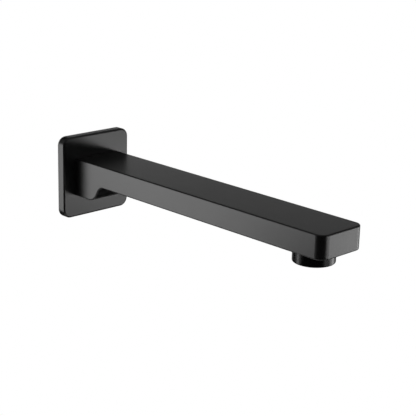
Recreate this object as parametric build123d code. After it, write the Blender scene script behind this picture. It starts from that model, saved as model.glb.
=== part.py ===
from build123d import *
from math import hypot, sqrt
import os

# Bath spout for a wall: a flat hollow bar with a deeper root block, a square wall flange, a push-on
# inlet nipple held by a grub screw, and a screw-in aerator under the tip.
# Millimetres. The origin is the centre of the inlet on the wall plane. +Y points into the wall, the
# spout reaches out along -Y, X is across it and +Z is up.

# Wall flange
flange_side = 60.0
flange_thickness = 7.4
flange_corner_radius = 6.5
flange_edge_round = 1.3
flange_front_wall = 2.6
flange_rim_wall = 2.6
flange_boss_wall = 4.6
flange_boss_setback = 0.4

# Outside of the spout body
projection = 241.4
bar_width = 38.6
bar_thickness = 16.0
root_height = 27.8
root_length = 27.8
root_slope_run = 6.7
root_toe_radius = 10.0
root_heel_radius = 6.7
tip_corner_radius = 6.2
body_edge_round = 1.0

# Round neck of the body, through the flange
neck_radius = 12.0
neck_setback = 0.6
neck_clearance = 0.2

# Waterway inside the body
roof_wall = 2.4
floor_wall = 2.4
side_wall = 3.2
tip_wall = 3.4
root_wall = 3.0
chamber_floor_length = 2.6
duct_corner_radius = 1.6
outlet_ramp_run = 7.0
outlet_ramp_gap = 1.5

# Inlet nipple: a G1/2 male thread behind the wall plane and a plain spigot in the body
inlet_thread_radius = 20.955 / 2
inlet_thread_length = 14.0
inlet_thread_chamfer = 0.8
spigot_radius = 10.0
spigot_length = 22.8
spigot_chamfer = 0.8
spigot_clearance = 0.1
spigot_end_gap = 1.2
nipple_bore_radius = 5.8
nipple_key_flats = 12.0
nipple_key_depth = 10.0

# Seals of the nipple and of the flange
o_ring_gland_width = 2.6
o_ring_gland_height = 1.6
o_ring_clearance = 0.03
rear_o_ring_place = 15.6
front_o_ring_place = 19.8
flange_o_ring_place = 3.8
flange_gland_height = 1.5

# Grub screw under the root block, M5
grub_place = 10.8
grub_radius = 2.5
grub_thread_clearance = 0.05
grub_length = 4.2
grub_recess = 0.6
grub_tip_radius = 1.2
grub_key_flats = 2.5
grub_key_depth = 2.0
grub_tip_clearance = 0.2

# Gasket in the hollow back of the flange
gasket_side_clearance = 0.3

# Aerator: an M24x1 housing that stands below the bar as the nozzle
nozzle_place = 219.0
nozzle_radius = 13.6
nozzle_drop = 9.3
nozzle_edge_round = 0.8
nozzle_lip_radius = 9.3
nozzle_lip_thickness = 1.5
nozzle_lip_chamfer = 0.4
aerator_thread_radius = 12.0
aerator_thread_length = 5.6
aerator_thread_clearance = 0.05
aerator_relief_width = 0.9
aerator_relief_depth = 0.7
housing_bore_radius = 10.6
seat_hole_radius = 9.4
seat_thickness = 1.4
washer_thickness = 1.4
washer_inner_radius = 8.9
washer_outer_radius = 11.8

# Aerator cartridge
cartridge_clearance = 0.1
cartridge_wall = 0.8
cartridge_flange_radius = 11.4
cartridge_flange_thickness = 1.0
cartridge_step_width = 0.8
cartridge_step_thickness = 0.8
inner_clearance = 0.05
air_window_count = 8
air_window_width = 3.0
air_window_height = 2.2
air_window_drop = 3.2
jet_plate_thickness = 1.2
jet_skirt_wall = 0.8
jet_hole_radius = 0.6
inner_jet_count = 6
inner_jet_ring_radius = 3.0
outer_jet_count = 12
outer_jet_ring_radius = 6.3
dome_clearance = 0.3
dome_base_height = 0.8
dome_rise = 2.2
dome_wall = 0.8
dome_slot_count = 12
dome_slot_width = 0.9
dome_slot_start = 2.6
dome_slot_end = 7.6
screen_thickness = 0.35
screen_opening = 1.6
screen_wire = 0.6
screen_margin = 0.5
spacer_height = 2.4
spacer_wall = 0.7
grid_height = 2.4
grid_cell_flats = 1.9
grid_cell_wall = 0.45
grid_margin = 0.5

# How far a cut runs past the surface it opens, and how near to a plane an edge counts as on it
overcut = 1.0
hair = 0.01

# Levels worked out from the sizes above
body_top = root_height / 2
body_bottom = -root_height / 2
bar_underside = body_top - bar_thickness
socket_radius = spigot_radius + spigot_clearance
socket_end = spigot_length + spigot_end_gap
nozzle_end = bar_underside - nozzle_drop
lip_top = nozzle_end + nozzle_lip_thickness
housing_top = bar_underside + aerator_thread_length
cartridge_top = housing_top + cartridge_flange_thickness
seat_level = cartridge_top + washer_thickness
raised_floor = seat_level + seat_thickness
cartridge_radius = housing_bore_radius - cartridge_clearance
cartridge_bore = cartridge_radius - cartridge_wall
cartridge_bottom = lip_top + cartridge_clearance
inner_radius = cartridge_bore - inner_clearance
grid_top = cartridge_bottom + grid_height
step_top = grid_top + cartridge_step_thickness
lower_screen_top = step_top + screen_thickness
spacer_top = lower_screen_top + spacer_height
upper_screen_top = spacer_top + screen_thickness
jet_plate_bottom = cartridge_top - jet_plate_thickness


# A solid turned about the inlet axis from (radius, y) corners
def turned_on_inlet(corners):
    return revolve(make_face(Polyline(*corners, close=True)), Axis.Y)


# A solid turned about the vertical axis from (radius, z) corners
def turned_on_outlet(corners):
    return revolve(Plane.XZ * make_face(Polyline(*corners, close=True)), Axis.Z)


# A plain ring about the vertical axis
def outlet_ring(inner, outer, bottom, top):
    return turned_on_outlet([(inner, bottom), (outer, bottom), (outer, top), (inner, top)])


# A disc about the vertical axis, cut through by a flat pattern
def perforated_disc(radius, bottom, thickness, holes):
    return Pos(0, 0, bottom) * extrude(Circle(radius) - holes, thickness)


# A round seal about the inlet axis, at a distance out from the wall
def inlet_o_ring(inner, outer, place):
    section = (outer - inner) / 2 - o_ring_clearance
    return Pos(0, -place, 0) * Rot(90, 0, 0) * Torus((inner + outer) / 2, section)


def make_wall_flange():
    outline = RectangleRounded(flange_side, flange_side, flange_corner_radius)
    plate = extrude(Plane.XZ * outline, flange_thickness)
    rims = plate.faces().filter_by(Axis.Y).edges()
    plate = fillet(rims, flange_edge_round)
    hollow_side = flange_side - 2 * flange_rim_wall
    hollow_corner = flange_corner_radius - flange_rim_wall
    hollow_outline = RectangleRounded(hollow_side, hollow_side, hollow_corner)
    hollow = extrude(Plane.XZ * hollow_outline, flange_thickness - flange_front_wall)
    bore_radius = neck_radius + neck_clearance
    boss_radius = bore_radius + flange_boss_wall
    boss = turned_on_inlet(
        [
            (0, -flange_thickness + flange_front_wall),
            (boss_radius, -flange_thickness + flange_front_wall),
            (boss_radius, -flange_boss_setback),
            (0, -flange_boss_setback),
        ]
    )
    gland_radius = neck_radius + flange_gland_height
    gland_start = flange_o_ring_place - o_ring_gland_width / 2
    gland_end = flange_o_ring_place + o_ring_gland_width / 2
    bore = turned_on_inlet(
        [
            (0, overcut),
            (bore_radius, overcut),
            (bore_radius, -gland_start),
            (gland_radius, -gland_start),
            (gland_radius, -gland_end),
            (bore_radius, -gland_end),
            (bore_radius, -flange_thickness - overcut),
            (0, -flange_thickness - overcut),
        ]
    )
    return plate - hollow + boss - bore


def make_flange_gasket():
    side = flange_side - 2 * flange_rim_wall - 2 * gasket_side_clearance
    corner = flange_corner_radius - flange_rim_wall - gasket_side_clearance
    hole = neck_radius + neck_clearance + flange_boss_wall + gasket_side_clearance
    sheet = RectangleRounded(side, side, corner) - Circle(hole)
    return extrude(Plane.XZ * sheet, flange_thickness - flange_front_wall)


# The outside of the body: its side outline across the width, with rounded tip corners and edges
def make_body_outside():
    corners = [
        (-flange_thickness, body_top),
        (-projection, body_top),
        (-projection, bar_underside),
        (-root_length - root_slope_run, bar_underside),
        (-root_length, body_bottom),
        (-flange_thickness, body_bottom),
    ]
    radii = [0, 0, 0, root_heel_radius, root_toe_radius, 0]
    outline = FilletPolyline(*corners, radius=radii, close=True)
    block = extrude(Plane.YZ * make_face(outline), bar_width / 2, both=True)
    tip_corners = block.edges().filter_by(Axis.Z).group_by(Axis.Y)[0]
    block = fillet(tip_corners, tip_corner_radius)
    side = bar_width / 2 - tip_corner_radius
    edges = block.edges().filter_by(Axis.Z, reverse=True)
    edges = edges.filter_by(lambda e: e.center().Y < -flange_thickness - hair)
    at_tip = edges.filter_by(lambda e: e.center().Y < -projection + tip_corner_radius)
    along = edges.filter_by(lambda e: abs(e.center().X) > side + hair)
    tip_and_sides = at_tip + along.filter_by(lambda e: e not in at_tip)
    return fillet(tip_and_sides, body_edge_round)


# The cast waterway: a chamber in the root block, a flat duct, and a ramp up over the outlet socket
def make_waterway():
    rise = bar_underside - body_bottom
    slope = hypot(root_slope_run, rise)
    across_y = rise / slope * root_wall
    across_z = root_slope_run / slope * root_wall
    roof = body_top - roof_wall
    duct_floor = bar_underside + floor_wall
    chamber_end = -socket_end - chamber_floor_length
    chamber_run = -root_length + across_y - chamber_end
    chamber_floor = body_bottom + across_z + chamber_run * rise / root_slope_run
    duct_start = chamber_end - (duct_floor - chamber_floor) * root_slope_run / rise
    ramp_top = -nozzle_place + aerator_thread_radius + outlet_ramp_gap
    duct_end = -projection + tip_wall
    corners = [
        (-socket_end, roof),
        (duct_end, roof),
        (duct_end, raised_floor),
        (ramp_top, raised_floor),
        (ramp_top + outlet_ramp_run, duct_floor),
        (duct_start, duct_floor),
        (chamber_end, chamber_floor),
        (-socket_end, chamber_floor),
    ]
    profile = Plane.YZ * make_face(Polyline(*corners, close=True))
    duct = extrude(profile, bar_width / 2 - side_wall, both=True)
    sides = duct.faces().filter_by(Axis.X).edges()
    sides = sides.filter_by(lambda e: e.center().Y < -socket_end - hair)
    lowest_half = (roof - raised_floor) / 2
    return fillet(sides, min(duct_corner_radius, lowest_half - hair))


def make_spout_body():
    block = make_body_outside()
    neck = turned_on_inlet(
        [
            (0, -flange_thickness - overcut),
            (neck_radius, -flange_thickness - overcut),
            (neck_radius, -neck_setback),
            (0, -neck_setback),
        ]
    )
    socket = turned_on_inlet(
        [
            (0, overcut),
            (socket_radius, overcut),
            (socket_radius, -socket_end),
            (0, -socket_end),
        ]
    )
    grub_hole = outlet_ring(0, grub_radius, body_bottom - overcut, -spigot_radius + overcut)
    outlet_socket = outlet_ring(
        0, aerator_thread_radius + aerator_thread_clearance, bar_underside - overcut, seat_level
    )
    seat_hole = outlet_ring(0, seat_hole_radius, seat_level - overcut, raised_floor + overcut)
    outlet = Pos(0, -nozzle_place, 0) * (outlet_socket + seat_hole)
    return block + neck - make_waterway() - socket - Pos(0, -grub_place, 0) * grub_hole - outlet


def make_inlet_nipple():
    gland_floor = socket_radius - o_ring_gland_height
    half = o_ring_gland_width / 2
    tip_level = -body_bottom - grub_recess - grub_length - grub_tip_clearance
    groove_depth = spigot_radius - tip_level
    groove_half = grub_tip_radius + groove_depth
    corners = [
        (nipple_bore_radius, inlet_thread_length),
        (inlet_thread_radius - inlet_thread_chamfer, inlet_thread_length),
        (inlet_thread_radius, inlet_thread_length - inlet_thread_chamfer),
        (inlet_thread_radius, 0),
        (spigot_radius, 0),
        (spigot_radius, -grub_place + groove_half),
        (tip_level, -grub_place + grub_tip_radius),
        (tip_level, -grub_place - grub_tip_radius),
        (spigot_radius, -grub_place - groove_half),
        (spigot_radius, -rear_o_ring_place + half),
        (gland_floor, -rear_o_ring_place + half),
        (gland_floor, -rear_o_ring_place - half),
        (spigot_radius, -rear_o_ring_place - half),
        (spigot_radius, -front_o_ring_place + half),
        (gland_floor, -front_o_ring_place + half),
        (gland_floor, -front_o_ring_place - half),
        (spigot_radius, -front_o_ring_place - half),
        (spigot_radius, -spigot_length + spigot_chamfer),
        (spigot_radius - spigot_chamfer, -spigot_length),
        (nipple_bore_radius, -spigot_length),
    ]
    key = RegularPolygon(nipple_key_flats / 2, 6, major_radius=False)
    key_socket = Pos(0, -spigot_length + nipple_key_depth, 0) * extrude(
        Plane.XZ * key, nipple_key_depth + overcut
    )
    return turned_on_inlet(corners) - key_socket


def make_nipple_o_ring(place):
    return inlet_o_ring(socket_radius - o_ring_gland_height, socket_radius, place)


def make_flange_o_ring():
    return inlet_o_ring(neck_radius, neck_radius + flange_gland_height, flange_o_ring_place)


def make_grub_screw():
    radius = grub_radius - grub_thread_clearance
    bottom = body_bottom + grub_recess
    top = bottom + grub_length
    corners = [
        (0, bottom),
        (radius, bottom),
        (radius, top - radius + grub_tip_radius),
        (grub_tip_radius, top),
        (0, top),
    ]
    key = RegularPolygon(grub_key_flats / 2, 6, major_radius=False)
    key_socket = Pos(0, 0, bottom - overcut) * extrude(key, grub_key_depth + overcut)
    return Pos(0, -grub_place, 0) * (turned_on_outlet(corners) - key_socket)


# The nozzle below the bar and the threaded collar above it, with a lip that keeps the cartridge in
def make_aerator_housing():
    relief_radius = aerator_thread_radius - aerator_relief_depth
    relief_top = bar_underside + aerator_relief_width
    corners = [
        (nozzle_lip_radius + nozzle_lip_chamfer, nozzle_end),
        (nozzle_radius, nozzle_end),
        (nozzle_radius, bar_underside),
        (relief_radius, bar_underside),
        (relief_radius, relief_top),
        (aerator_thread_radius, relief_top),
        (aerator_thread_radius, housing_top),
        (housing_bore_radius, housing_top),
        (housing_bore_radius, lip_top),
        (nozzle_lip_radius, lip_top),
        (nozzle_lip_radius, nozzle_end + nozzle_lip_chamfer),
    ]
    housing = turned_on_outlet(corners)
    foot_edge = housing.edges().group_by(Axis.Z)[0].sort_by(SortBy.RADIUS)[-1]
    return fillet(foot_edge, nozzle_edge_round)


def make_aerator_washer():
    return outlet_ring(washer_inner_radius, washer_outer_radius, cartridge_top, seat_level)


def air_windows(wall, outer):
    window = Pos(outer - wall / 2, 0, 0) * Box(3 * wall, air_window_width, air_window_height)
    level = jet_plate_bottom - air_window_drop
    turns = PolarLocations(0, air_window_count)
    return [Pos(0, 0, level) * turn * window for turn in turns]


def make_cartridge_shell():
    corners = [
        (cartridge_bore, cartridge_bottom),
        (cartridge_radius, cartridge_bottom),
        (cartridge_radius, housing_top),
        (cartridge_flange_radius, housing_top),
        (cartridge_flange_radius, cartridge_top),
        (cartridge_bore, cartridge_top),
        (cartridge_bore, step_top),
        (cartridge_bore - cartridge_step_width, step_top),
        (cartridge_bore - cartridge_step_width, grid_top),
        (cartridge_bore, grid_top),
    ]
    return turned_on_outlet(corners) - air_windows(cartridge_wall, cartridge_radius)


# The plate with the jets, on a skirt that stands on the upper screen
def make_jet_plate():
    inner_ring = PolarLocations(inner_jet_ring_radius, inner_jet_count)
    outer_ring = PolarLocations(outer_jet_ring_radius, outer_jet_count)
    holes = [spot * Circle(jet_hole_radius) for ring in (inner_ring, outer_ring) for spot in ring]
    plate = perforated_disc(inner_radius, jet_plate_bottom, jet_plate_thickness, holes)
    skirt_bore = inner_radius - jet_skirt_wall
    skirt = outlet_ring(skirt_bore, inner_radius, upper_screen_top, jet_plate_bottom)
    return plate + (skirt - air_windows(jet_skirt_wall, inner_radius))


# A slotted cap whose top is part of a sphere
def make_strainer_dome():
    radius = washer_inner_radius - dome_clearance
    shoulder = cartridge_top + dome_base_height
    ball = (radius**2 + dome_rise**2) / (2 * dome_rise)
    centre = shoulder + dome_rise - ball
    base = outlet_ring(0, radius, cartridge_top, shoulder + dome_rise)
    inside = outlet_ring(0, radius - dome_wall, cartridge_top - overcut, shoulder + dome_rise)
    cap = base & Pos(0, 0, centre) * Sphere(ball)
    hollow = inside & Pos(0, 0, centre) * Sphere(ball - dome_wall)
    length = dome_slot_end - dome_slot_start
    slot = Pos(dome_slot_start + length / 2, 0, 0) * SlotOverall(length, dome_slot_width)
    slots = [turn * slot for turn in PolarLocations(0, dome_slot_count)]
    cut = Pos(0, 0, shoulder) * extrude(Sketch() + slots, dome_rise + overcut)
    return cap - hollow - cut


def make_mesh_screen(bottom):
    pitch = screen_opening + screen_wire
    reach = inner_radius - screen_margin - screen_opening / sqrt(2)
    count = int(2 * inner_radius / pitch) | 1
    spots = [
        spot
        for spot in GridLocations(pitch, pitch, count, count)
        if hypot(spot.position.X, spot.position.Y) <= reach
    ]
    openings = [spot * Rectangle(screen_opening, screen_opening) for spot in spots]
    return perforated_disc(inner_radius, bottom, screen_thickness, openings)


def make_screen_spacer():
    return outlet_ring(inner_radius - spacer_wall, inner_radius, lower_screen_top, spacer_top)


def make_outlet_grid():
    apothem = (grid_cell_flats + grid_cell_wall) / 2
    reach = inner_radius - grid_margin - grid_cell_flats / sqrt(3)
    count = int(inner_radius / apothem) | 1
    cells = [
        spot * RegularPolygon(grid_cell_flats / 2, 6, major_radius=False, rotation=30)
        for spot in HexLocations(apothem, count, count, major_radius=False)
        if hypot(spot.position.X, spot.position.Y) <= reach
    ]
    return perforated_disc(inner_radius, cartridge_bottom, grid_height, cells)


pieces = {
    "spout_body": make_spout_body(),
    "wall_flange": make_wall_flange(),
    "flange_gasket": make_flange_gasket(),
    "flange_o_ring": make_flange_o_ring(),
    "inlet_nipple": make_inlet_nipple(),
    "nipple_o_ring_rear": make_nipple_o_ring(rear_o_ring_place),
    "nipple_o_ring_front": make_nipple_o_ring(front_o_ring_place),
    "grub_screw": make_grub_screw(),
}

aerator_pieces = {
    "aerator_housing": make_aerator_housing(),
    "aerator_washer": make_aerator_washer(),
    "strainer_dome": make_strainer_dome(),
    "jet_plate": make_jet_plate(),
    "cartridge_shell": make_cartridge_shell(),
    "mesh_screen_upper": make_mesh_screen(spacer_top),
    "mesh_screen_lower": make_mesh_screen(step_top),
    "screen_spacer": make_screen_spacer(),
    "outlet_grid": make_outlet_grid(),
}
for name, piece in aerator_pieces.items():
    pieces[name] = Pos(0, -nozzle_place, 0) * piece

os.makedirs("parts", exist_ok=True)
for name, piece in pieces.items():
    export_step(piece, f"parts/{name}.step")
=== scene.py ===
import math

import bpy
from bpy.props import FloatProperty, FloatVectorProperty, IntProperty, PointerProperty
from bpy.types import Operator, Panel, PropertyGroup
from mathutils import Matrix, Vector


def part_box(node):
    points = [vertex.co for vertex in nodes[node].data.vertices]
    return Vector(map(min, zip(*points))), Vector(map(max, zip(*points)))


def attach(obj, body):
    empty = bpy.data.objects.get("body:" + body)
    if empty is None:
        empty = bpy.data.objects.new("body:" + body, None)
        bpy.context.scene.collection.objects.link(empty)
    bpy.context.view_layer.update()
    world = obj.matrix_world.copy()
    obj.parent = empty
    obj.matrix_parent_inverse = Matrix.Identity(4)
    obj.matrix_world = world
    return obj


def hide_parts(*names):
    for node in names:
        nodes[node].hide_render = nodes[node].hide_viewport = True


bl_info = {
    "name": "Bath spout",
    "version": (1, 0, 0),
    "blender": (4, 5, 0),
    "location": "3D View > Sidebar > Bath spout",
    "description": "Finishes, small details and the studio of a wall-mounted bath spout",
    "category": "Object",
}

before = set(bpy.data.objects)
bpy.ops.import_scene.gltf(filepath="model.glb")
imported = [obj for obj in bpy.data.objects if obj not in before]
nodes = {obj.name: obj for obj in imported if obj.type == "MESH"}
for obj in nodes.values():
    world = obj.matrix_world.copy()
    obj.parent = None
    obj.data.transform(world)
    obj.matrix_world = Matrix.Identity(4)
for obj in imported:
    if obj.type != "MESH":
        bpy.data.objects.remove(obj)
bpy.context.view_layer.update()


# Sizes and colours that a user would change


class StageSettings(PropertyGroup):
    lens: FloatProperty(
        name="Lens", description="Focal length of the camera", default=101.12, unit="CAMERA"
    )
    camera_place: FloatVectorProperty(
        name="Camera place",
        description="Where the camera stands",
        default=(-0.52351, -0.65646, 0.22617),
        subtype="TRANSLATION",
    )
    camera_turn: FloatProperty(
        name="Camera turn",
        description="Turn of the camera about the vertical",
        default=math.radians(-44.58),
        subtype="ANGLE",
    )
    camera_tilt: FloatProperty(
        name="Camera tilt",
        description="Angle by which the camera looks down",
        default=math.radians(16.83),
        subtype="ANGLE",
    )
    camera_roll: FloatProperty(
        name="Camera roll",
        description="Turn of the camera about its own view",
        default=math.radians(1.49),
        subtype="ANGLE",
    )
    floor_drop: FloatProperty(
        name="Floor drop", description="Height of the spout above the floor", default=0.7, unit="LENGTH"
    )
    floor_side: FloatProperty(
        name="Floor side", description="Side of the square floor", default=30.0, unit="LENGTH"
    )
    floor_colour: FloatVectorProperty(
        name="Floor colour",
        description="Colour of the pale floor",
        default=(0.86, 0.86, 0.86),
        subtype="COLOR",
    )
    fill_light: FloatProperty(
        name="Fill light", description="Strength of the light from all round", default=0.8
    )
    left_light: FloatProperty(
        name="Left light",
        description="Power of the softbox behind the left side",
        default=0.78,
        unit="POWER",
    )
    right_light: FloatProperty(
        name="Right light",
        description="Power of the softbox in front on the right",
        default=0.36,
        unit="POWER",
    )
    tent_radius: FloatProperty(
        name="Tent radius", description="Radius of the black tent", default=0.6, unit="LENGTH"
    )
    left_glow: FloatProperty(
        name="Left glow",
        description="Brightness of the tent's panel behind the left side",
        default=2.25,
    )
    inner_wing_glow: FloatProperty(
        name="Inner wing glow",
        description="Brightness of the panel beside it, over the wall",
        default=1.7,
    )
    outer_wing_glow: FloatProperty(
        name="Outer wing glow",
        description="Brightness of the panel beside it, to the left",
        default=1.1,
    )
    front_glow: FloatProperty(
        name="Front glow", description="Brightness of the panel in front on the right", default=1.9
    )
    low_front_glow: FloatProperty(
        name="Low front glow", description="Brightness of the low strip on its left", default=2.2
    )
    right_glow: FloatProperty(
        name="Right glow", description="Brightness of the low strip on its right", default=4.2
    )
    dim_right_glow: FloatProperty(
        name="Dim right glow", description="Brightness of the panel further to the right", default=0.5
    )
    low_back_glow: FloatProperty(
        name="Low back glow", description="Brightness of the lower panel behind", default=0.9
    )
    back_glow: FloatProperty(
        name="Back glow", description="Brightness of the upper panel behind", default=0.15
    )
    dim_glow: FloatProperty(
        name="Dim glow",
        description="Brightness of the panels for the far side and the underside",
        default=0.3,
    )
    faint_glow: FloatProperty(
        name="Faint glow", description="Brightness of the panels above", default=0.12
    )


class FinishSettings(PropertyGroup):
    satin_colour: FloatVectorProperty(
        name="Satin black",
        description="Colour of the coating on the spout and the flange",
        default=(0.0025, 0.0025, 0.0026),
        subtype="COLOR",
    )
    satin_roughness: FloatProperty(
        name="Satin roughness",
        description="Roughness of the satin coating",
        default=0.33,
        subtype="FACTOR",
    )
    gloss_colour: FloatVectorProperty(
        name="Gloss black",
        description="Colour of the coating on the nozzle",
        default=(0.0015, 0.0015, 0.0016),
        subtype="COLOR",
    )
    gloss_roughness: FloatProperty(
        name="Gloss roughness",
        description="Roughness of the nozzle's coating",
        default=0.23,
        subtype="FACTOR",
    )
    brass_colour: FloatVectorProperty(
        name="Brass",
        description="Colour of the turned brass",
        default=(0.80, 0.60, 0.29),
        subtype="COLOR",
    )
    steel_colour: FloatVectorProperty(
        name="Steel",
        description="Colour of the stainless steel",
        default=(0.52, 0.52, 0.51),
        subtype="COLOR",
    )
    rubber_colour: FloatVectorProperty(
        name="Rubber", description="Colour of the seals", default=(0.018, 0.018, 0.018), subtype="COLOR"
    )
    foam_colour: FloatVectorProperty(
        name="Foam",
        description="Colour of the foam gasket",
        default=(0.045, 0.045, 0.047),
        subtype="COLOR",
    )
    dark_plastic_colour: FloatVectorProperty(
        name="Dark plastic",
        description="Colour of the aerator's sleeve, spacer and grid",
        default=(0.10, 0.10, 0.105),
        subtype="COLOR",
    )
    pale_plastic_colour: FloatVectorProperty(
        name="Pale plastic",
        description="Colour of the aerator's strainer and jet plate",
        default=(0.72, 0.73, 0.71),
        subtype="COLOR",
    )


class ThreadSettings(PropertyGroup):
    pitch: FloatProperty(
        name="Pitch", description="Distance from crest to crest", default=0.001814, unit="LENGTH"
    )
    depth: FloatProperty(
        name="Depth", description="Depth of the thread", default=0.001162, unit="LENGTH"
    )
    start: FloatProperty(
        name="Start",
        description="Where the thread starts, from the wall plane",
        default=0.0011,
        unit="LENGTH",
    )
    turns: IntProperty(name="Turns", description="Number of turns", default=6, min=1)
    steps: IntProperty(name="Steps", description="Steps of one turn", default=48, min=12)


# Tools for modelling as by hand


def clear_selection():
    if bpy.context.object and bpy.context.object.mode != "OBJECT":
        bpy.ops.object.mode_set(mode="OBJECT")
    bpy.ops.object.select_all(action="DESELECT")


def make_active(piece):
    clear_selection()
    piece.select_set(True)
    bpy.context.view_layer.objects.active = piece


def select_vertices(piece, wanted):
    """Selects in edit mode the vertices for which wanted(place) holds, and says how many there are."""
    bpy.ops.object.mode_set(mode="OBJECT")
    bpy.ops.object.mode_set(mode="EDIT")
    bpy.ops.mesh.select_mode(type="VERT")
    bpy.ops.mesh.select_all(action="DESELECT")
    bpy.ops.object.mode_set(mode="OBJECT")
    count = 0
    for vertex in piece.data.vertices:
        vertex.select = wanted(vertex.co)
        count += vertex.select
    bpy.ops.object.mode_set(mode="EDIT")
    return count


def draw_outline(name, points):
    """A closed outline in the XY plane, drawn by extruding one corner after another."""
    clear_selection()
    bpy.ops.mesh.primitive_plane_add(size=0.001, location=(0, 0, 0))
    piece = bpy.context.object
    piece.name = name
    bpy.ops.object.mode_set(mode="EDIT")
    bpy.ops.mesh.select_mode(type="VERT")
    bpy.ops.mesh.select_all(action="SELECT")
    bpy.ops.mesh.merge(type="CENTER")
    bpy.ops.transform.translate(value=(points[0][0], points[0][1], 0))
    for last, corner in zip(points, points[1:]):
        move = (corner[0] - last[0], corner[1] - last[1], 0)
        bpy.ops.mesh.extrude_region_move(TRANSFORM_OT_translate={"value": move})
    bpy.ops.mesh.select_all(action="SELECT")
    bpy.ops.object.mode_set(mode="OBJECT")
    ends = (0, len(piece.data.vertices) - 1)
    for vertex in piece.data.vertices:
        vertex.select = vertex.index in ends
    bpy.ops.object.mode_set(mode="EDIT")
    bpy.ops.mesh.edge_face_add()
    bpy.ops.object.mode_set(mode="OBJECT")
    return piece


def apply_modifiers(piece):
    make_active(piece)
    for modifier in list(piece.modifiers):
        bpy.ops.object.modifier_apply(modifier=modifier.name)


def copy_of_node(node, name):
    """A merged copy of a CAD node's mesh, as the start of the piece that replaces it."""
    source = nodes[node]
    piece = source.copy()
    piece.data = source.data.copy()
    piece.name = name
    piece.data.name = name
    piece.parent = None
    bpy.context.scene.collection.objects.link(piece)
    make_active(piece)
    bpy.ops.mesh.customdata_custom_splitnormals_clear()
    bpy.ops.object.mode_set(mode="EDIT")
    bpy.ops.mesh.select_all(action="SELECT")
    bpy.ops.mesh.remove_doubles(threshold=1e-6)
    bpy.ops.object.mode_set(mode="OBJECT")
    return piece


# Surface effects shared by several materials, as node groups that give masks and heights


def new_group(name, inputs, outputs):
    group = bpy.data.node_groups.new(name, "ShaderNodeTree")
    for socket, value in inputs.items():
        made = group.interface.new_socket(socket, in_out="INPUT", socket_type="NodeSocketFloat")
        made.default_value = value
    for socket in outputs:
        group.interface.new_socket(socket, in_out="OUTPUT", socket_type="NodeSocketFloat")
    return group, group.nodes.new("NodeGroupInput"), group.nodes.new("NodeGroupOutput")


def add_math(tree, operation, first, second=None, third=None):
    node = tree.nodes.new("ShaderNodeMath")
    node.operation = operation
    for socket, value in zip(node.inputs, (first, second, third)):
        if isinstance(value, bpy.types.NodeSocket):
            tree.links.new(value, socket)
        elif value is not None:
            socket.default_value = value
    return node.outputs[0]


def add_noise(tree, place, scale, detail, roughness=0.5):
    node = tree.nodes.new("ShaderNodeTexNoise")
    tree.links.new(place, node.inputs["Vector"])
    for name, value in (("Scale", scale), ("Detail", detail), ("Roughness", roughness)):
        if isinstance(value, bpy.types.NodeSocket):
            tree.links.new(value, node.inputs[name])
        else:
            node.inputs[name].default_value = value
    return node.outputs["Fac"]


def object_place(tree):
    return tree.nodes.new("ShaderNodeTexCoord").outputs["Object"]


def coating_group():
    """Sprayed coating: a fine grain, a slow orange peel and uneven gloss."""
    group, given, result = new_group(
        "Sprayed coating", {"Grain": 5200.0, "Peel": 520.0, "Patch": 26.0}, ("Height", "Gloss", "Tone")
    )
    place = object_place(group)
    grain = add_noise(group, place, given.outputs["Grain"], 2.0, 0.6)
    peel = add_noise(group, place, given.outputs["Peel"], 1.0)
    patch = add_noise(group, place, given.outputs["Patch"], 3.0, 0.6)
    height = add_math(group, "MULTIPLY_ADD", grain, 0.45, add_math(group, "MULTIPLY", peel, 0.55))
    group.links.new(height, result.inputs["Height"])
    gloss = add_math(group, "MULTIPLY_ADD", grain, 0.35, add_math(group, "MULTIPLY", patch, 0.65))
    group.links.new(gloss, result.inputs["Gloss"])
    group.links.new(patch, result.inputs["Tone"])
    return group


def turning_group():
    """Fine lathe lines round the inlet axis and rings on the ends, with a slow change of tone."""
    group, given, result = new_group(
        "Lathe lines", {"Line": 0.00016, "Stain": 180.0}, ("Height", "Tone")
    )
    place = object_place(group)
    split = group.nodes.new("ShaderNodeSeparateXYZ")
    group.links.new(place, split.inputs[0])
    across = add_math(group, "MULTIPLY", split.outputs["X"], split.outputs["X"])
    across = add_math(group, "MULTIPLY_ADD", split.outputs["Z"], split.outputs["Z"], across)
    radius = add_math(group, "SQRT", across)
    along = add_math(group, "MULTIPLY_ADD", radius, 0.7, split.outputs["Y"])
    phase = add_math(group, "DIVIDE", along, given.outputs["Line"])
    wave = add_math(group, "SINE", add_math(group, "MULTIPLY", phase, 2 * math.pi))
    height = add_math(group, "MULTIPLY_ADD", wave, 0.5, 0.5)
    group.links.new(height, result.inputs["Height"])
    group.links.new(add_noise(group, place, given.outputs["Stain"], 4.0, 0.6), result.inputs["Tone"])
    return group


def moulding_group():
    """Moulded plastic or rubber: a fine spark-eroded grain and a slow tone."""
    group, given, result = new_group(
        "Moulded grain", {"Grain": 3600.0, "Patch": 150.0}, ("Height", "Tone")
    )
    place = object_place(group)
    group.links.new(add_noise(group, place, given.outputs["Grain"], 3.0, 0.6), result.inputs["Height"])
    group.links.new(add_noise(group, place, given.outputs["Patch"], 3.0, 0.55), result.inputs["Tone"])
    return group


def foam_group():
    """Closed-cell foam: round pores of mixed sizes."""
    group, given, result = new_group("Foam cells", {"Cell": 1500.0}, ("Height", "Tone"))
    place = object_place(group)
    cells = group.nodes.new("ShaderNodeTexVoronoi")
    group.links.new(place, cells.inputs["Vector"])
    group.links.new(given.outputs["Cell"], cells.inputs["Scale"])
    pits = add_math(group, "MINIMUM", cells.outputs["Distance"], 0.6)
    group.links.new(pits, result.inputs["Height"])
    group.links.new(add_noise(group, place, 60.0, 4.0, 0.6), result.inputs["Tone"])
    return group


# Between these values a noise texture stays on nearly all of a surface
noise_range = (0.25, 0.75)


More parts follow.
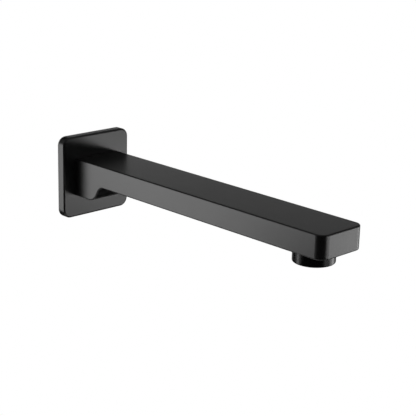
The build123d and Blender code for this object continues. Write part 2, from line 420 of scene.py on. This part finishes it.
class Finish:
    """One material: a Principled BSDF with a shared effect placed before it."""

    def __init__(self, name, effect, metallic=0.0, ior=1.5):
        self.material = bpy.data.materials.new(name)
        self.material.use_nodes = True
        self.tree = self.material.node_tree
        self.shader = self.tree.nodes["Principled BSDF"]
        self.shader.inputs["Metallic"].default_value = metallic
        self.shader.inputs["IOR"].default_value = ior
        self.effect = self.tree.nodes.new("ShaderNodeGroup")
        self.effect.node_tree = effect

    def setting(self, **values):
        for name, value in values.items():
            self.effect.inputs[name].default_value = value

    def colour(self, mask, low, high):
        """Lets the mask mix two colours."""
        mix = self.tree.nodes.new("ShaderNodeMix")
        mix.data_type = "RGBA"
        self.tree.links.new(self.effect.outputs[mask], mix.inputs["Factor"])
        mix.inputs["A"].default_value = (*low, 1)
        mix.inputs["B"].default_value = (*high, 1)
        self.tree.links.new(mix.outputs["Result"], self.shader.inputs["Base Color"])

    def roughness(self, mask, low, high):
        """Lets the mask move the roughness between two values."""
        node = self.tree.nodes.new("ShaderNodeMapRange")
        self.tree.links.new(self.effect.outputs[mask], node.inputs["Value"])
        node.inputs["From Min"].default_value, node.inputs["From Max"].default_value = noise_range
        node.inputs["To Min"].default_value = low
        node.inputs["To Max"].default_value = high
        self.tree.links.new(node.outputs["Result"], self.shader.inputs["Roughness"])

    def bump(self, distance, strength):
        """Raises the effect's height from the surface."""
        node = self.tree.nodes.new("ShaderNodeBump")
        node.inputs["Distance"].default_value = distance
        node.inputs["Strength"].default_value = strength
        self.tree.links.new(self.effect.outputs["Height"], node.inputs["Height"])
        self.tree.links.new(node.outputs["Normal"], self.shader.inputs["Normal"])


def tinted(colour, factor):
    return tuple(channel * factor for channel in colour)


def paint(names, material):
    """Puts the material on CAD nodes."""
    for name in names:
        for slot in nodes[name].material_slots:
            slot.material = material


def shared_group(name, make):
    """The node group of that name, made at its first use."""
    return bpy.data.node_groups.get(name) or make()


class SPOUT_OT_coat_metal(Operator):
    """Gives the spout, its flange and its nozzle their black coatings"""

    bl_idname = "spout.coat_metal"
    bl_label = "Coat the metal"

    def execute(self, context):
        finish = context.scene.spout_finish
        coating = shared_group("Sprayed coating", coating_group)
        satin = Finish("Satin black coating", coating, ior=1.8)
        satin.colour("Tone", tinted(finish.satin_colour, 0.8), tinted(finish.satin_colour, 1.25))
        rough = finish.satin_roughness
        satin.roughness("Gloss", rough - 0.03, rough + 0.03)
        satin.bump(0.00002, 0.35)
        paint(("spout_body", "wall_flange"), satin.material)
        gloss = Finish("Gloss black coating", coating)
        gloss.setting(Grain=3000.0, Peel=400.0, Patch=90.0)
        gloss.colour("Tone", tinted(finish.gloss_colour, 0.8), tinted(finish.gloss_colour, 1.2))
        rough = finish.gloss_roughness
        gloss.roughness("Gloss", rough - 0.03, rough + 0.03)
        gloss.bump(0.00001, 0.2)
        paint(("aerator_housing",), gloss.material)
        return {"FINISHED"}


class SPOUT_OT_finish_small_parts(Operator):
    """Gives the seals, the gasket, the screw and the aerator's parts their finishes"""

    bl_idname = "spout.finish_small_parts"
    bl_label = "Finish the small parts"

    def execute(self, context):
        finish = context.scene.spout_finish
        moulding = shared_group("Moulded grain", moulding_group)
        rubber = Finish("Seal rubber", moulding)
        rubber.colour("Tone", tinted(finish.rubber_colour, 0.7), tinted(finish.rubber_colour, 1.5))
        rubber.roughness("Tone", 0.5, 0.68)
        rubber.bump(0.00003, 0.4)
        paint(
            ("flange_o_ring", "nipple_o_ring_rear", "nipple_o_ring_front", "aerator_washer"),
            rubber.material,
        )
        foam = Finish("Gasket foam", shared_group("Foam cells", foam_group))
        foam.colour("Tone", tinted(finish.foam_colour, 0.7), tinted(finish.foam_colour, 1.4))
        foam.roughness("Tone", 0.85, 0.97)
        foam.bump(0.0003, 0.7)
        paint(("flange_gasket",), foam.material)
        dark = Finish("Dark plastic", moulding)
        dark.colour(
            "Tone",
            tinted(finish.dark_plastic_colour, 0.85),
            tinted(finish.dark_plastic_colour, 1.2),
        )
        dark.roughness("Tone", 0.38, 0.5)
        dark.bump(0.00002, 0.3)
        paint(("cartridge_shell", "screen_spacer", "outlet_grid"), dark.material)
        pale = Finish("Pale plastic", moulding)
        pale.colour(
            "Tone",
            tinted(finish.pale_plastic_colour, 0.94),
            tinted(finish.pale_plastic_colour, 1.03),
        )
        pale.roughness("Tone", 0.34, 0.46)
        pale.bump(0.00002, 0.25)
        paint(("strainer_dome", "jet_plate"), pale.material)
        steel = Finish("Stainless steel", shared_group("Lathe lines", turning_group), metallic=1.0)
        steel.colour("Tone", tinted(finish.steel_colour, 0.85), tinted(finish.steel_colour, 1.1))
        steel.roughness("Tone", 0.24, 0.36)
        steel.bump(0.00001, 0.3)
        paint(("grub_screw", "mesh_screen_upper", "mesh_screen_lower"), steel.material)
        return {"FINISHED"}


class SPOUT_OT_thread_nipple(Operator):
    """Makes the brass inlet nipple with its pipe thread"""

    bl_idname = "spout.thread_nipple"
    bl_label = "Thread the nipple"

    def execute(self, context):
        finish = context.scene.spout_finish
        thread = context.scene.spout_thread
        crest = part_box("inlet_nipple")[1].x
        root = crest - thread.depth
        slack = 0.0003
        piece = copy_of_node("inlet_nipple", "threaded_nipple")
        found = select_vertices(
            piece, lambda co: co.y > -1e-6 and math.hypot(co.x, co.z) > root - slack
        )
        if not found:
            raise RuntimeError("the nipple has no wall behind the wall plane")
        factor = root / crest
        bpy.ops.transform.resize(value=(factor, 1, factor), center_override=(0, 0, 0))
        bpy.ops.object.mode_set(mode="OBJECT")
        ridge = self.make_ridge(thread, root, crest)
        union = piece.modifiers.new("Add the ridge", "BOOLEAN")
        union.operation = "UNION"
        union.solver = "EXACT"
        union.object = ridge
        apply_modifiers(piece)
        make_active(ridge)
        bpy.ops.object.delete()
        make_active(piece)
        bpy.ops.object.shade_smooth_by_angle(angle=math.radians(30))
        brass = Finish("Turned brass", shared_group("Lathe lines", turning_group), metallic=1.0)
        brass.colour("Tone", tinted(finish.brass_colour, 0.84), tinted(finish.brass_colour, 1.06))
        brass.roughness("Tone", 0.24, 0.34)
        brass.bump(0.00001, 0.2)
        piece.data.materials.clear()
        piece.data.materials.append(brass.material)
        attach(piece, "root")
        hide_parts("inlet_nipple")
        return {"FINISHED"}

    def make_ridge(self, thread, root, crest):
        """The thread's ridge: its closed section wound up the axis, with both ends run out."""
        overlap = 0.00015
        shoulder_drop = 0.00012
        shoulder_run = 0.00004
        foot = root - overlap
        half_foot = thread.pitch * 0.47
        half_crest = thread.pitch * 0.09
        middle = thread.start
        section = [
            (foot, middle - half_foot),
            (crest - shoulder_drop, middle - half_crest - shoulder_run),
            (crest, middle - half_crest),
            (crest, middle + half_crest),
            (crest - shoulder_drop, middle + half_crest + shoulder_run),
            (foot, middle + half_foot),
        ]
        ridge = draw_outline("thread_ridge", section)
        screw = ridge.modifiers.new("Wind", "SCREW")
        screw.axis = "Y"
        screw.angle = 2 * math.pi
        screw.screw_offset = thread.pitch
        screw.iterations = thread.turns
        screw.steps = thread.steps
        screw.render_steps = thread.steps
        screw.use_smooth_shade = True
        apply_modifiers(ridge)
        corners = len(section)
        rings = len(ridge.data.vertices) // corners
        fade = thread.steps // 3
        sunk = (foot - 2 * overlap) / crest
        for end in range(fade):
            share = end / fade
            factor = sunk + (1 - sunk) * share
            for ring in (end, rings - 1 - end):
                chosen = set(range(ring * corners, (ring + 1) * corners))
                bpy.ops.object.mode_set(mode="EDIT")
                bpy.ops.mesh.select_all(action="DESELECT")
                bpy.ops.object.mode_set(mode="OBJECT")
                for vertex in ridge.data.vertices:
                    vertex.select = vertex.index in chosen
                bpy.ops.object.mode_set(mode="EDIT")
                bpy.ops.transform.resize(value=(factor, 1, factor), center_override=(0, 0, 0))
                bpy.ops.object.mode_set(mode="OBJECT")
        bpy.ops.object.mode_set(mode="EDIT")
        bpy.ops.mesh.select_all(action="DESELECT")
        bpy.ops.mesh.select_non_manifold()
        bpy.ops.mesh.fill()
        bpy.ops.mesh.select_all(action="SELECT")
        bpy.ops.mesh.normals_make_consistent(inside=False)
        bpy.ops.object.mode_set(mode="OBJECT")
        return ridge


# Floor, light and camera

# Each lit panel of the tent has the setting that holds its brightness, then from and to in degrees
# about the vertical, counted from +X towards +Y, then from and to above the horizon
tent_middle = Vector((0, -0.12, 0))
tent_step = 2.5
tent_panels = (
    ("left_glow", (130, 145, -27.5, 10)),
    ("inner_wing_glow", (115, 130, -20, 10)),
    ("outer_wing_glow", (145, 160, -20, 10)),
    ("front_glow", (-55, -40, -25, -7.5)),
    ("low_front_glow", (-85, -55, -15, -5)),
    ("right_glow", (-40, -25, -20, -12.5)),
    ("dim_right_glow", (-25, 0, -45, -12.5)),
    ("low_back_glow", (0, 70, 0, 10)),
    ("back_glow", (0, 70, 10, 35)),
    ("dim_glow", (30, 80, -35, 0)),
    ("dim_glow", (45, 315, -90, -45)),
    ("faint_glow", (95, 175, 15, 45)),
    ("faint_glow", (-85, -10, 5, 45)),
    ("faint_glow", (-180, 180, 45, 90)),
)
left_softbox = (115, 160, -40, 28)
right_softbox = (-72, -46, -40, -2)


def direction(turn, lift):
    """The unit vector at an angle about the vertical and an angle above the horizon."""
    turn = math.radians(turn)
    lift = math.radians(lift)
    return Vector((math.cos(turn) * math.cos(lift), math.sin(turn) * math.cos(lift), math.sin(lift)))


def backdrop_tree(tree, shown, lighting):
    """White wherever the camera, gloss or glass looks, and the given shader for other light."""
    path = tree.nodes.new("ShaderNodeLightPath")
    seen = add_math(tree, "MAXIMUM", path.outputs["Is Camera Ray"], path.outputs["Is Glossy Ray"])
    seen = add_math(tree, "MAXIMUM", seen, path.outputs["Is Transmission Ray"])
    mix = tree.nodes.new("ShaderNodeMixShader")
    tree.links.new(seen, mix.inputs["Fac"])
    tree.links.new(lighting, mix.inputs[1])
    tree.links.new(shown, mix.inputs[2])
    return mix.outputs[0]


class SPOUT_OT_set_stage(Operator):
    """Sets the pale floor, the soft light, the black tent and the camera"""

    bl_idname = "spout.set_stage"
    bl_label = "Set the stage"

    def execute(self, context):
        stage = context.scene.spout_stage
        self.make_floor(stage)
        self.make_world(stage)
        self.make_softboxes(stage)
        self.make_tent(stage)
        self.make_camera(stage)
        context.scene.view_settings.view_transform = "Standard"
        return {"FINISHED"}

    def make_floor(self, stage):
        clear_selection()
        bpy.ops.mesh.primitive_plane_add(size=stage.floor_side, location=(0, 0, -stage.floor_drop))
        floor = bpy.context.object
        floor.name = "floor"
        bpy.ops.object.mode_set(mode="EDIT")
        bpy.ops.mesh.subdivide(number_cuts=3)
        bpy.ops.object.mode_set(mode="OBJECT")
        material = bpy.data.materials.new("Pale floor")
        material.use_nodes = True
        tree = material.node_tree
        shader = tree.nodes["Principled BSDF"]
        shader.inputs["Base Color"].default_value = (*stage.floor_colour, 1)
        shader.inputs["Roughness"].default_value = 0.9
        shader.inputs["Specular IOR Level"].default_value = 0.0
        white = tree.nodes.new("ShaderNodeEmission")
        faced = backdrop_tree(tree, white.outputs[0], shader.outputs[0])
        clear = tree.nodes.new("ShaderNodeBsdfTransparent")
        side = tree.nodes.new("ShaderNodeNewGeometry")
        mix = tree.nodes.new("ShaderNodeMixShader")
        tree.links.new(side.outputs["Backfacing"], mix.inputs["Fac"])
        tree.links.new(faced, mix.inputs[1])
        tree.links.new(clear.outputs[0], mix.inputs[2])
        tree.links.new(mix.outputs[0], tree.nodes["Material Output"].inputs["Surface"])
        floor.data.materials.append(material)

    def make_world(self, stage):
        world = bpy.data.worlds.new("Studio")
        world.use_nodes = True
        tree = world.node_tree
        fill = tree.nodes["Background"]
        fill.inputs["Strength"].default_value = stage.fill_light
        fill.inputs["Color"].default_value = (1, 1, 1, 1)
        white = tree.nodes.new("ShaderNodeBackground")
        white.inputs["Color"].default_value = (1, 1, 1, 1)
        shown = backdrop_tree(tree, white.outputs[0], fill.outputs[0])
        tree.links.new(shown, tree.nodes["World Output"].inputs["Surface"])
        world.cycles.sampling_method = "NONE"
        bpy.context.scene.world = world

    def make_softboxes(self, stage):
        radius = stage.tent_radius
        boxes = (
            ("left softbox", left_softbox, stage.left_light),
            ("right softbox", right_softbox, stage.right_light),
        )
        for name, panel, power in boxes:
            west, east, foot, head = panel
            place = tent_middle + radius * direction((west + east) / 2, (foot + head) / 2)
            clear_selection()
            bpy.ops.object.light_add(type="AREA", location=place)
            lamp = bpy.context.object
            lamp.name = name
            lamp.data.shape = "RECTANGLE"
            lamp.data.size = 2 * radius * math.sin(math.radians(east - west) / 2)
            lamp.data.size_y = 2 * radius * math.sin(math.radians(head - foot) / 2)
            lamp.data.energy = power
            lamp.rotation_euler = (tent_middle - place).to_track_quat("-Z", "Y").to_euler()
            lamp.visible_camera = False
            lamp.visible_glossy = False

    def make_tent(self, stage):
        """A black tent round the spout, seen only in gloss, with a few lit panels."""
        clear_selection()
        bpy.ops.mesh.primitive_uv_sphere_add(
            segments=round(360 / tent_step),
            ring_count=round(180 / tent_step),
            radius=stage.tent_radius,
            location=tent_middle,
        )
        tent = bpy.context.object
        tent.name = "black_tent"
        bpy.ops.object.transform_apply(location=True, rotation=False, scale=False)
        tent.data.materials.append(self.glowing_cloth("Black cloth", 0.0))
        for number, (setting, panel) in enumerate(tent_panels, start=1):
            cloth = self.glowing_cloth(f"Lit panel {number}", getattr(stage, setting))
            bpy.ops.object.mode_set(mode="OBJECT")
            tent.data.materials.append(cloth)
            self.select_panel(tent, panel)
            tent.active_material_index = number
            bpy.ops.object.material_slot_assign()
        bpy.ops.object.mode_set(mode="OBJECT")
        tent.visible_camera = False
        tent.visible_diffuse = False
        tent.visible_transmission = False

    def glowing_cloth(self, name, brightness):
        material = bpy.data.materials.new(name)
        material.use_nodes = True
        tree = material.node_tree
        glow = tree.nodes.new("ShaderNodeEmission")
        glow.inputs["Strength"].default_value = brightness
        tree.links.new(glow.outputs[0], tree.nodes["Material Output"].inputs["Surface"])
        return material

    def select_panel(self, tent, panel):
        west, east, foot, head = panel
        bpy.ops.object.mode_set(mode="EDIT")
        bpy.ops.mesh.select_mode(type="FACE")
        bpy.ops.mesh.select_all(action="DESELECT")
        bpy.ops.object.mode_set(mode="OBJECT")
        for face in tent.data.polygons:
            gap = face.center - tent_middle
            turn = (math.degrees(math.atan2(gap.y, gap.x)) - west) % 360
            lift = math.degrees(math.asin(gap.z / gap.length))
            face.select = turn < east - west and foot < lift < head
        bpy.ops.object.mode_set(mode="EDIT")

    def make_camera(self, stage):
        clear_selection()
        bpy.ops.object.camera_add(location=stage.camera_place)
        camera = bpy.context.object
        camera.name = "camera"
        turn = Matrix.Rotation(stage.camera_turn, 3, "Z")
        tilt = Matrix.Rotation(math.radians(90) - stage.camera_tilt, 3, "X")
        roll = Matrix.Rotation(stage.camera_roll, 3, "Z")
        camera.rotation_euler = (turn @ tilt @ roll).to_euler()
        camera.data.lens = stage.lens
        camera.data.sensor_width = 36
        camera.data.clip_start = 0.01
        camera.data.clip_end = 100
        camera.data.dof.use_dof = False
        bpy.context.scene.camera = camera


class SPOUT_PT_sidebar(Panel):
    """The settings, each group with its operators"""

    bl_idname = "SPOUT_PT_sidebar"
    bl_label = "Bath spout"
    bl_space_type = "VIEW_3D"
    bl_region_type = "UI"
    bl_category = "Bath spout"

    def draw(self, context):
        layout = self.layout
        scene = context.scene
        for settings, operators in (
            (scene.spout_stage, (SPOUT_OT_set_stage,)),
            (scene.spout_finish, (SPOUT_OT_coat_metal, SPOUT_OT_finish_small_parts)),
            (scene.spout_thread, (SPOUT_OT_thread_nipple,)),
        ):
            box = layout.box()
            for name in settings.__annotations__:
                box.prop(settings, name)
            for operator in operators:
                box.operator(operator.bl_idname)


settings_groups = {
    "spout_stage": StageSettings,
    "spout_finish": FinishSettings,
    "spout_thread": ThreadSettings,
}
operators = (
    SPOUT_OT_coat_metal,
    SPOUT_OT_finish_small_parts,
    SPOUT_OT_thread_nipple,
    SPOUT_OT_set_stage,
)


def register():
    for name, group in settings_groups.items():
        bpy.utils.register_class(group)
        setattr(bpy.types.Scene, name, PointerProperty(type=group))
    for operator in operators:
        bpy.utils.register_class(operator)
    bpy.utils.register_class(SPOUT_PT_sidebar)


def unregister():
    bpy.utils.unregister_class(SPOUT_PT_sidebar)
    for operator in reversed(operators):
        bpy.utils.unregister_class(operator)
    for name, group in settings_groups.items():
        delattr(bpy.types.Scene, name)
        bpy.utils.unregister_class(group)


def main():
    register()
    bpy.ops.spout.coat_metal()
    bpy.ops.spout.finish_small_parts()
    bpy.ops.spout.thread_nipple()
    bpy.ops.spout.set_stage()
    clear_selection()


if __name__ == "__main__":
    main()
